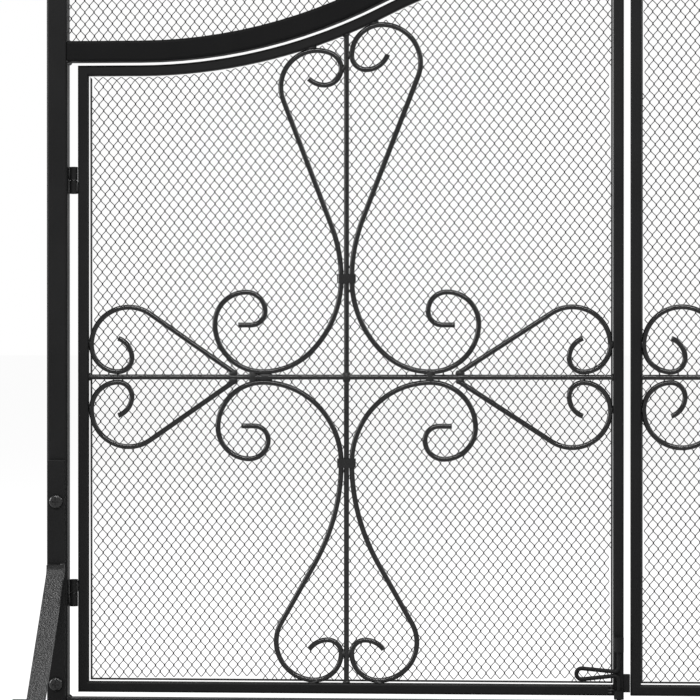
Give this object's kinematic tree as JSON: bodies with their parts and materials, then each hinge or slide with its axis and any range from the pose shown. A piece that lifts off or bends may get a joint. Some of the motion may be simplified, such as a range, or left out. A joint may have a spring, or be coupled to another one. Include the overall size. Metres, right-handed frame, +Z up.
{
  "type": "fireplace screen",
  "caption": "Free-standing fireplace screen: square-tube frame with an arched rail, hinged mesh doors with scrollwork, a drop bolt and braced feet.",
  "frame": {"origin": "on the floor, in the middle of the rectangle that the screen and its feet cover", "axes": "+X along the screen's width, from the left door to the right door as seen from the front; -Y is the front, the room side; +Z up"},
  "size_m": [1.118, 0.33, 0.838],
  "materials": {
    "frame": "satin black powder coat",
    "ornament": "satin black powder coat",
    "mesh": "satin black powder coat",
    "screws": "black oxide",
    "plated_steel": "plain steel"
  },
  "bodies": {
    "frame": {"arch_rail": "frame", "bottom_rail": "frame", "foot_screws": "screws", "left_foot_base": "frame", "left_foot_brace": "frame", "left_foot_plate": "frame", "left_lower_hinge_pin": "plated_steel", "left_lower_post_knuckle": "frame", "left_post": "frame", "left_upper_hinge_pin": "plated_steel", "left_upper_post_knuckle": "frame", "post_nuts": "plated_steel", "right_foot_base": "frame", "right_foot_brace": "frame", "right_foot_plate": "frame", "right_lower_hinge_pin": "plated_steel", "right_lower_post_knuckle": "frame", "right_post": "frame", "right_upper_hinge_pin": "plated_steel", "right_upper_post_knuckle": "frame", "top_rail": "frame", "upper_mesh": "mesh"},
    "left_door": {"left_door_bottom_rail": "frame", "left_door_collars": "ornament", "left_door_cross_bar": "ornament", "left_door_hinge_leaf_scrolls": "ornament", "left_door_hinge_stile": "frame", "left_door_lower_scrolls": "ornament", "left_door_meeting_leaf_scrolls": "ornament", "left_door_meeting_stile": "frame", "left_door_mesh": "mesh", "left_door_top_rail": "frame", "left_door_upper_scrolls": "ornament", "left_door_upright_bar": "ornament", "left_lower_door_knuckle": "frame", "left_upper_door_knuckle": "frame", "lower_bolt_guide": "frame", "stop_block": "frame", "upper_bolt_guide": "frame"},
    "right_door": {"right_door_bottom_rail": "frame", "right_door_collars": "ornament", "right_door_cross_bar": "ornament", "right_door_hinge_leaf_scrolls": "ornament", "right_door_hinge_stile": "frame", "right_door_lower_scrolls": "ornament", "right_door_meeting_leaf_scrolls": "ornament", "right_door_meeting_stile": "frame", "right_door_mesh": "mesh", "right_door_top_rail": "frame", "right_door_upper_scrolls": "ornament", "right_door_upright_bar": "ornament", "right_lower_door_knuckle": "frame", "right_upper_door_knuckle": "frame"},
    "drop_bolt": {"drop_bolt": "frame"}
  },
  "joints": [
    {"name": "left_door_hinge", "type": "hinge", "parent": "frame", "child": "left_door", "pos_m": [-0.5345, 0.044, 0.326], "axis": [0, 0, -1], "range_deg": [0, 90]},
    {"name": "right_door_hinge", "type": "hinge", "parent": "frame", "child": "right_door", "pos_m": [0.5345, 0.044, 0.326], "axis": [0, 0, 1], "range_deg": [0, 90]},
    {"name": "bolt_slide", "type": "slide", "parent": "left_door", "child": "drop_bolt", "axis": [0, 0, 1], "range_m": [-0.0095, 0.006]}
  ]
}
